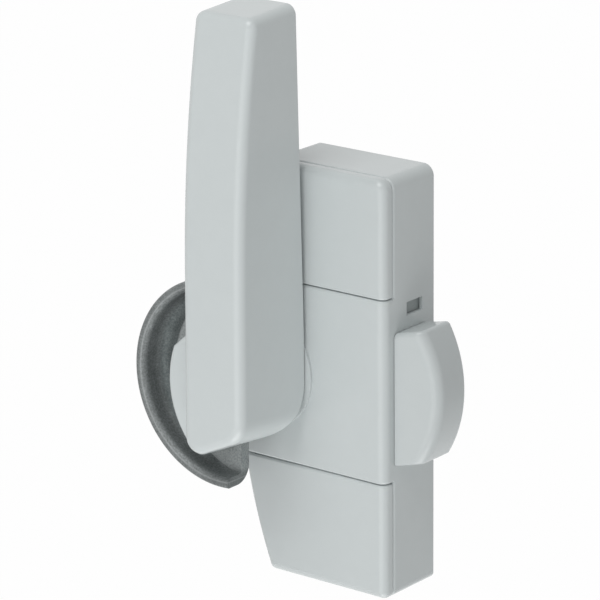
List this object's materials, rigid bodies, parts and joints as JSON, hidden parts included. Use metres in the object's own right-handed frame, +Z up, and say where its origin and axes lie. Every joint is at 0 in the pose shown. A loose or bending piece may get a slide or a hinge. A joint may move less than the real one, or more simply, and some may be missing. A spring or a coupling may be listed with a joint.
{
  "type": "crescent window lock",
  "caption": "Crescent lock for sliding windows: a long lever turns a dished half-moon cam, on a narrow case with clip-on end covers and a side sub-lock slider.",
  "frame": {"origin": "where the handle's pivot axis meets the mounting plane, at the case's mid height", "axes": "+Y out of the case's back into the window stile, +Z up along the case and the handle, +X towards the sub-lock knob"},
  "size_m": [0.0653, 0.0398, 0.127],
  "materials": {
    "case_plastic": "satin light grey paint on a cast case",
    "handle_plastic": "satin light grey paint on a cast handle",
    "cast_metal": "bare grey die-cast metal",
    "plated_steel": "zinc-plated sheet steel",
    "screw_steel": "plain turned steel",
    "spring_steel": "spring steel strip",
    "bush_plastic": "natural bearing plastic",
    "flag_plastic": "dark grey moulded plastic with a coloured lower half"
  },
  "bodies": {
    "case": {"housing": "case_plastic", "top_cover": "case_plastic", "bottom_cover": "case_plastic", "back_plate": "plated_steel", "plate_screws": "screw_steel", "pivot_bush": "bush_plastic", "thrust_washer": "bush_plastic", "click_spring": "spring_steel", "detent_spring": "spring_steel"},
    "handle": {"handle_grip": "handle_plastic", "handle_arm": "cast_metal", "crescent_cam": "cast_metal", "pivot_shaft": "screw_steel", "spring_washer": "spring_steel", "index_disc": "plated_steel", "retaining_ring": "spring_steel"},
    "sub_lock": {"lock_knob": "handle_plastic", "lock_slide": "bush_plastic", "indicator_flag": "flag_plastic", "knob_screw": "screw_steel"}
  },
  "joints": [
    {"name": "handle_turn", "type": "hinge", "parent": "case", "child": "handle", "pos_m": [0, 0, 0], "axis": [0, 1, 0], "range_deg": [0, 180], "deforming": ["click_spring"]},
    {"name": "sub_lock_slide", "type": "slide", "parent": "case", "child": "sub_lock", "axis": [0, 0, 1], "range_m": [0, 0.0032], "deforming": ["detent_spring"]}
  ]
}
